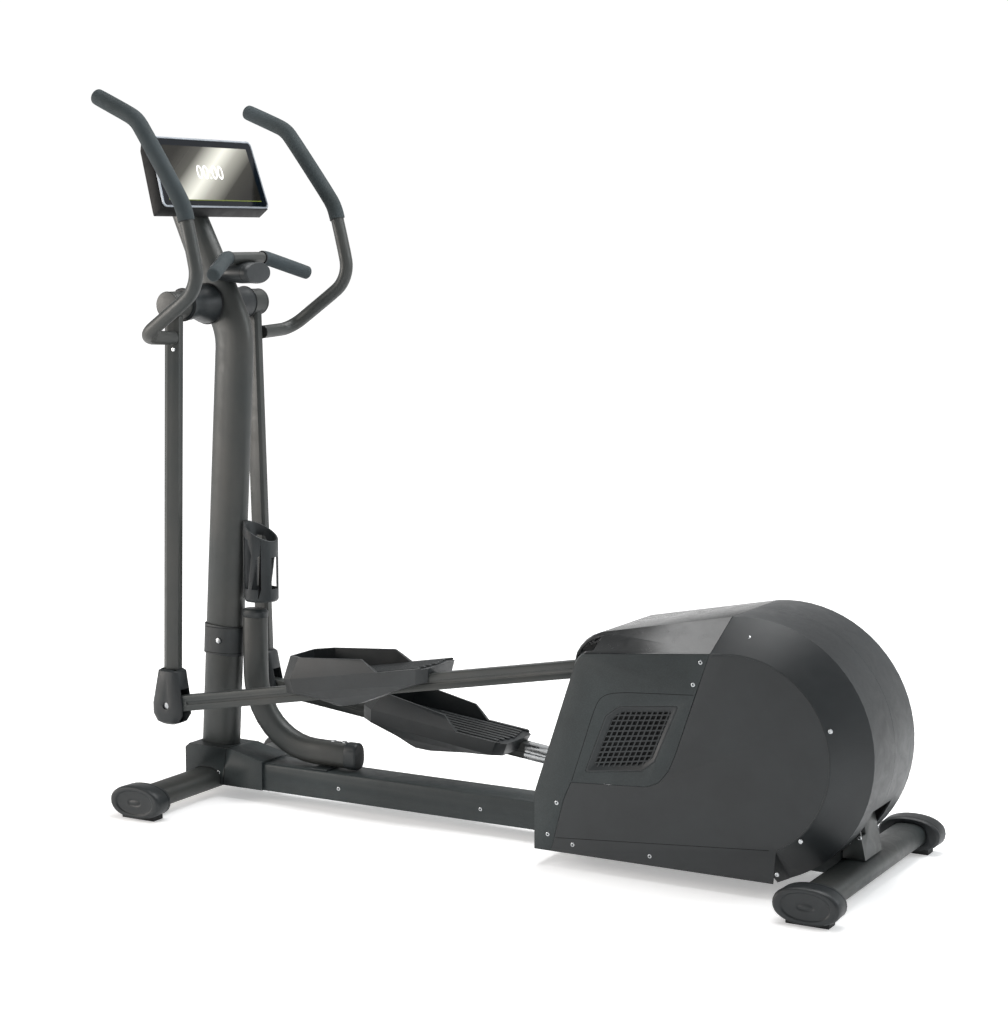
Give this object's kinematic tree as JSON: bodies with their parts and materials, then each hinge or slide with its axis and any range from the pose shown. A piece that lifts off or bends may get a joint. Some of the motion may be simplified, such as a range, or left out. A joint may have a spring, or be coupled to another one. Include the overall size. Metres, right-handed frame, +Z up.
{
  "type": "elliptical trainer",
  "caption": "Rear-drive elliptical trainer: mast with console and swing bars, pedals on long rails, crank in a round rear casing.",
  "frame": {"origin": "on the floor, at the bottom centre of the machine's box", "axes": "+X towards the rear drive casing, -X towards the console, -Y the user's left, +Z up"},
  "size_m": [1.8109, 0.65, 1.6431],
  "materials": {
    "painted_steel": "textured satin powder coat, dark grey",
    "dark_plastic": "fine moulded texture, charcoal",
    "shroud_plastic": "satin moulded cover, blue-grey charcoal",
    "gloss_black": "polished black",
    "foam_rubber": "closed-cell foam grip, dark grey",
    "bright_steel": "zinc-plated or ground steel",
    "belt_rubber": "ribbed drive belt, black"
  },
  "bodies": {
    "frame": {"base_beam": "painted_steel", "beam_cover": "dark_plastic", "bottle_cage": "dark_plastic", "brace_bracket": "dark_plastic", "brace_end_cap": "dark_plastic", "brace_top_cap": "dark_plastic", "brace_tube": "painted_steel", "console_glass": "gloss_black", "console_housing": "gloss_black", "crank_bearing_left": "bright_steel", "crank_bearing_right": "bright_steel", "drive_belt": "belt_rubber", "drive_plate_left": "painted_steel", "drive_plate_right": "painted_steel", "front_foot_left": "dark_plastic", "front_foot_right": "dark_plastic", "front_shroud_left": "shroud_plastic", "front_shroud_right": "shroud_plastic", "front_stabiliser": "painted_steel", "grille_left": "dark_plastic", "grille_right": "dark_plastic", "handlebar_stem": "dark_plastic", "mast": "painted_steel", "mast_band": "dark_plastic", "pivot_housing_left": "dark_plastic", "pivot_housing_right": "dark_plastic", "pivot_shaft": "bright_steel", "power_inlet": "gloss_black", "rear_bracket": "painted_steel", "rear_foot_left": "dark_plastic", "rear_foot_right": "dark_plastic", "rear_shroud_left": "shroud_plastic", "rear_shroud_right": "shroud_plastic", "rear_stabiliser": "painted_steel", "static_grip_left": "foam_rubber", "static_grip_right": "foam_rubber", "static_handlebar": "painted_steel", "top_cover": "gloss_black"},
    "crank": {"crank_axle": "bright_steel", "crank_arm_left": "painted_steel", "crank_arm_right": "painted_steel", "drive_pulley": "dark_plastic"},
    "flywheel": {"flywheel": "bright_steel"},
    "left_lever": {"lever_hub_left": "painted_steel", "lever_tube_left": "painted_steel", "handlebar_left": "painted_steel", "grip_left": "foam_rubber", "boot_left": "dark_plastic"},
    "left_pin": {"rail_pin_left": "bright_steel"},
    "left_rail": {"rail_left": "painted_steel", "pedal_left": "dark_plastic"},
    "right_lever": {"lever_hub_right": "painted_steel", "lever_tube_right": "painted_steel", "handlebar_right": "painted_steel", "grip_right": "foam_rubber", "boot_right": "dark_plastic"},
    "right_pin": {"rail_pin_right": "bright_steel"},
    "right_rail": {"rail_right": "painted_steel", "pedal_right": "dark_plastic", "rail_tail_right": "bright_steel"}
  },
  "joints": [
    {"name": "left_lever_swing", "type": "hinge", "parent": "frame", "child": "left_lever", "pos_m": [-0.784, 0, 1.161], "axis": [0, 1, 0], "range_deg": [-12, 12]},
    {"name": "right_lever_swing", "type": "hinge", "parent": "frame", "child": "right_lever", "pos_m": [-0.784, 0, 1.161], "axis": [0, 1, 0], "range_deg": [-12, 12]},
    {"name": "left_pin_turn", "type": "hinge", "parent": "left_lever", "child": "left_pin", "pos_m": [-0.80724, 0, 0.23629], "axis": [0, 1, 0], "range_deg": [-12, 12]},
    {"name": "right_pin_turn", "type": "hinge", "parent": "right_lever", "child": "right_pin", "pos_m": [-0.7584, 0, 0.23635], "axis": [0, 1, 0], "range_deg": [-12, 12]},
    {"name": "left_rail_tilt", "type": "hinge", "parent": "left_pin", "child": "left_rail", "pos_m": [-0.80724, 0, 0.23629], "axis": [0, 1, 0], "range_deg": [0, 16.5]},
    {"name": "right_rail_tilt", "type": "hinge", "parent": "right_pin", "child": "right_rail", "pos_m": [-0.7584, 0, 0.23635], "axis": [0, 1, 0], "range_deg": [-16.5, 0]},
    {"name": "crank_turn", "type": "hinge", "parent": "frame", "child": "crank", "pos_m": [0.62, 0, 0.277], "axis": [0, 1, 0], "continuous": true},
    {"name": "flywheel_turn", "type": "hinge", "parent": "frame", "child": "flywheel", "pos_m": [0.365, 0, 0.25], "axis": [0, 1, 0], "continuous": true}
  ],
  "couplings": [
    {"joint": "right_lever_swing", "follows": "left_lever_swing", "ratio": -1},
    {"joint": "left_pin_turn", "follows": "left_lever_swing", "ratio": -1},
    {"joint": "right_pin_turn", "follows": "left_lever_swing", "ratio": 1},
    {"joint": "right_rail_tilt", "follows": "left_rail_tilt", "ratio": -1},
    {"joint": "flywheel_turn", "follows": "crank_turn", "ratio": 6.3636}
  ]
}
